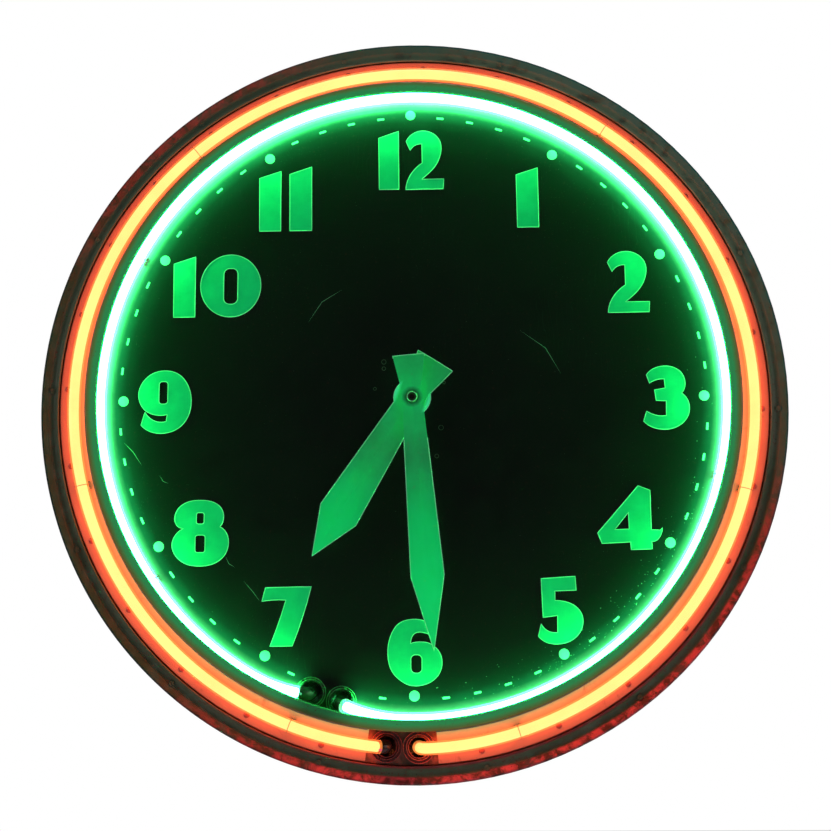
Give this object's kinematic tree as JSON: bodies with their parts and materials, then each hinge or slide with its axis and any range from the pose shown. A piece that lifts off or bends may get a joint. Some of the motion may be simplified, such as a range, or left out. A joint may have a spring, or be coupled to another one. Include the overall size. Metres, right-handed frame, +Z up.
{
  "type": "neon advertising clock",
  "caption": "Round wall clock with a black dial, an orange gas tube in a trough round the rim, a green gas tube round the dial and an electric movement.",
  "frame": {"origin": "centre of the four wall bolts, on the plane where the case back meets the wall, on the hands' axis", "axes": "+Z up, dial faces -Y, +X to the right as seen from the front, hands turn about the Y axis"},
  "size_m": [0.66, 0.177, 0.66],
  "materials": {
    "case_enamel": "satin brown-black enamel, rubbed",
    "dark_enamel": "satin dark brown enamel, specked and chipped",
    "cream_enamel": "cream reflector enamel, aged",
    "black_gloss_enamel": "gloss black enamel with fine scratches",
    "dial_paint": "pale screened enamel",
    "hand_paint": "pale cream enamel on sheet metal",
    "nut_brass": "turned, tarnished",
    "brass": "machined",
    "steel_fasteners": "zinc plated, dull",
    "dark_fasteners": "blackened screws",
    "bare_steel": "mill finish",
    "orange_gas_tube": "clear glass, orange glow",
    "green_gas_tube": "coated glass, green-white glow",
    "glass_saddles": "moulded glass",
    "porcelain": "glazed porcelain, soiled",
    "transformer_paint": "grey hammered enamel",
    "laminations": "varnished laminated steel",
    "coil_tape": "varnished cotton tape",
    "lead_rubber": "matte insulated cable",
    "gland_plastic": "moulded brown phenolic",
    "block_plastic": "moulded brown phenolic"
  },
  "bodies": {
    "case": {"bolt_doublers": "bare_steel", "bushing_nut": "brass", "case_can": "case_enamel", "centre_bushing": "brass", "cord_gland": "gland_plastic", "dial_numerals": "dial_paint", "dial_plate": "black_gloss_enamel", "dial_screws": "steel_fasteners", "dial_seat": "bare_steel", "drum_ring": "dark_enamel", "front_pan": "dark_enamel", "gland_nut": "bare_steel", "hatch_screws": "steel_fasteners", "high_tension_bushings": "porcelain", "high_tension_lead_left": "lead_rubber", "high_tension_lead_right": "lead_rubber", "hour_dots": "dial_paint", "inner_cup_left": "porcelain", "inner_cup_right": "porcelain", "inner_tube": "green_gas_tube", "liner_rivets": "cream_enamel", "minute_marks": "dial_paint", "motion_stud": "steel_fasteners", "motor_body": "bare_steel", "motor_coil": "coil_tape", "motor_laminations": "laminations", "movement_back_plate": "brass", "movement_front_plate": "brass", "movement_pillars": "brass", "outer_cup_left": "porcelain", "outer_cup_right": "porcelain", "outer_tube": "orange_gas_tube", "rear_hatch": "case_enamel", "rim_ring": "dark_enamel", "rim_screws": "dark_fasteners", "series_lead": "lead_rubber", "supply_leads": "lead_rubber", "terminal_block": "block_plastic", "tie_wires": "steel_fasteners", "transformer_bolts": "steel_fasteners", "transformer_case": "transformer_paint", "transformer_coil": "coil_tape", "transformer_core": "laminations", "transformer_feet": "bare_steel", "transformer_lid": "transformer_paint", "trough_liner": "cream_enamel", "tube_electrodes": "bare_steel", "tube_saddles": "glass_saddles"},
    "minute_work": {"minute_arbor": "steel_fasteners", "centre_wheel": "brass", "cannon_pinion": "steel_fasteners", "clutch_spring": "brass", "minute_hand": "hand_paint", "minute_hub": "brass", "hand_nut": "nut_brass"},
    "hour_work": {"hour_wheel": "brass", "hour_hand": "hand_paint", "hour_hub": "brass"},
    "motion_work": {"motion_wheel": "brass"},
    "motor_rotor": {"motor_pinion": "steel_fasteners"}
  },
  "joints": [
    {"name": "minute_turn", "type": "hinge", "parent": "case", "child": "minute_work", "pos_m": [0, 0, 0], "axis": [0, 1, 0], "continuous": true},
    {"name": "hour_turn", "type": "hinge", "parent": "case", "child": "hour_work", "pos_m": [0, 0, 0], "axis": [0, 1, 0], "continuous": true},
    {"name": "motion_turn", "type": "hinge", "parent": "case", "child": "motion_work", "pos_m": [0, 0, -0.024], "axis": [0, 1, 0], "continuous": true},
    {"name": "motor_turn", "type": "hinge", "parent": "case", "child": "motor_rotor", "pos_m": [0, 0, 0.024], "axis": [0, 1, 0], "continuous": true}
  ],
  "couplings": [
    {"joint": "hour_turn", "follows": "minute_turn", "ratio": 0.083333},
    {"joint": "motion_turn", "follows": "minute_turn", "ratio": -0.33333},
    {"joint": "motor_turn", "follows": "minute_turn", "ratio": -4}
  ]
}
